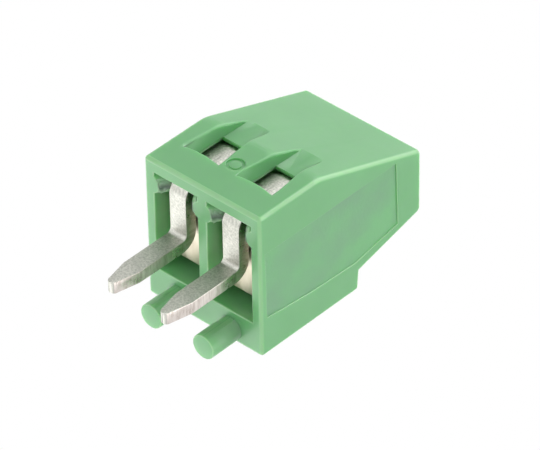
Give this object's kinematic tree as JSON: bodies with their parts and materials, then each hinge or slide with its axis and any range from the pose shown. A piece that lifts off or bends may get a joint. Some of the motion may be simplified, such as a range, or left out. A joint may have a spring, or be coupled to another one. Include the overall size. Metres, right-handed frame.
{
  "type": "pcb screw terminal",
  "caption": "Screw terminal block for a circuit board, with rising clamp sleeves, angled solder pins, locating pegs, test windows and a sunk side panel.",
  "frame": {"origin": "middle of the face that sits on the circuit board", "axes": "+Z away from the board, -Y to the side where the wires go in, +Y to the side with the test windows, +X along the row of poles"},
  "size_m": [0.0056, 0.0062, 0.0119],
  "materials": {
    "housing": "satin moulded polyamide, fine grain, brighter rounded edges",
    "contact": "matt tin plated copper alloy strip with sheared edges",
    "sleeve": "warm nickel plating",
    "screw": "bright zinc plating"
  },
  "bodies": {
    "base": {"housing": "housing", "contact_left": "contact", "contact_right": "contact"},
    "sleeve_left": {"sleeve_left": "sleeve"},
    "sleeve_right": {"sleeve_right": "sleeve"},
    "screw_left": {"screw_left": "screw"},
    "screw_right": {"screw_right": "screw"}
  },
  "joints": [
    {"name": "screw_left_turn", "type": "hinge", "parent": "base", "child": "screw_left", "pos_m": [-0.00127, -0.0001, 0.006], "axis": [0, 0, -1], "range_deg": [0, 1800]},
    {"name": "screw_right_turn", "type": "hinge", "parent": "base", "child": "screw_right", "pos_m": [0.00127, -0.0001, 0.006], "axis": [0, 0, -1], "range_deg": [0, 1800]},
    {"name": "sleeve_left_lift", "type": "slide", "parent": "base", "child": "sleeve_left", "axis": [0, 0, 1], "range_m": [0, 0.0015]},
    {"name": "sleeve_right_lift", "type": "slide", "parent": "base", "child": "sleeve_right", "axis": [0, 0, 1], "range_m": [0, 0.0015]}
  ],
  "couplings": [
    {"joint": "screw_left_turn", "follows": "sleeve_left_lift", "rad_per_m": 20944},
    {"joint": "screw_right_turn", "follows": "sleeve_right_lift", "rad_per_m": 20944}
  ]
}
